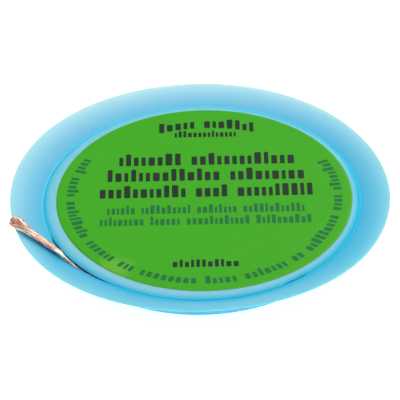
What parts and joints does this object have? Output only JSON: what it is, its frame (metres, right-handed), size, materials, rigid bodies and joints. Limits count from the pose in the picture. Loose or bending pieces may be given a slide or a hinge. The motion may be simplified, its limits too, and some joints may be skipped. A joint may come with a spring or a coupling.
{
  "type": "desoldering braid spool",
  "caption": "Flat copper desoldering braid wound in a thin translucent blue plastic spool, with a round green label and the braid's free end lying over the flange.",
  "frame": {"origin": "on the table plane, under the middle of the spool", "axes": "+Z is the spool's axis and points up out of the label, -Y is the front as the picture shows it, +X is to the right"},
  "size_m": [0.0498, 0.0498, 0.0054],
  "materials": {
    "blue_plastic": "thin flexible light blue plastic, a little translucent, satin gloss, paler towards the rim",
    "pale_blue_plastic": "light blue plastic, a little translucent, satin gloss",
    "green_label": null,
    "copper_braid": "fine braided bare copper wire dressed with flux",
    "copper_braid_end": "fine braided bare copper wire dressed with flux, bright strands"
  },
  "bodies": {
    "root": {"spool_dish": "blue_plastic", "cap_disc": "pale_blue_plastic", "label": "green_label", "braid_coil": "copper_braid", "braid_tail": "copper_braid_end"}
  },
  "joints": []
}
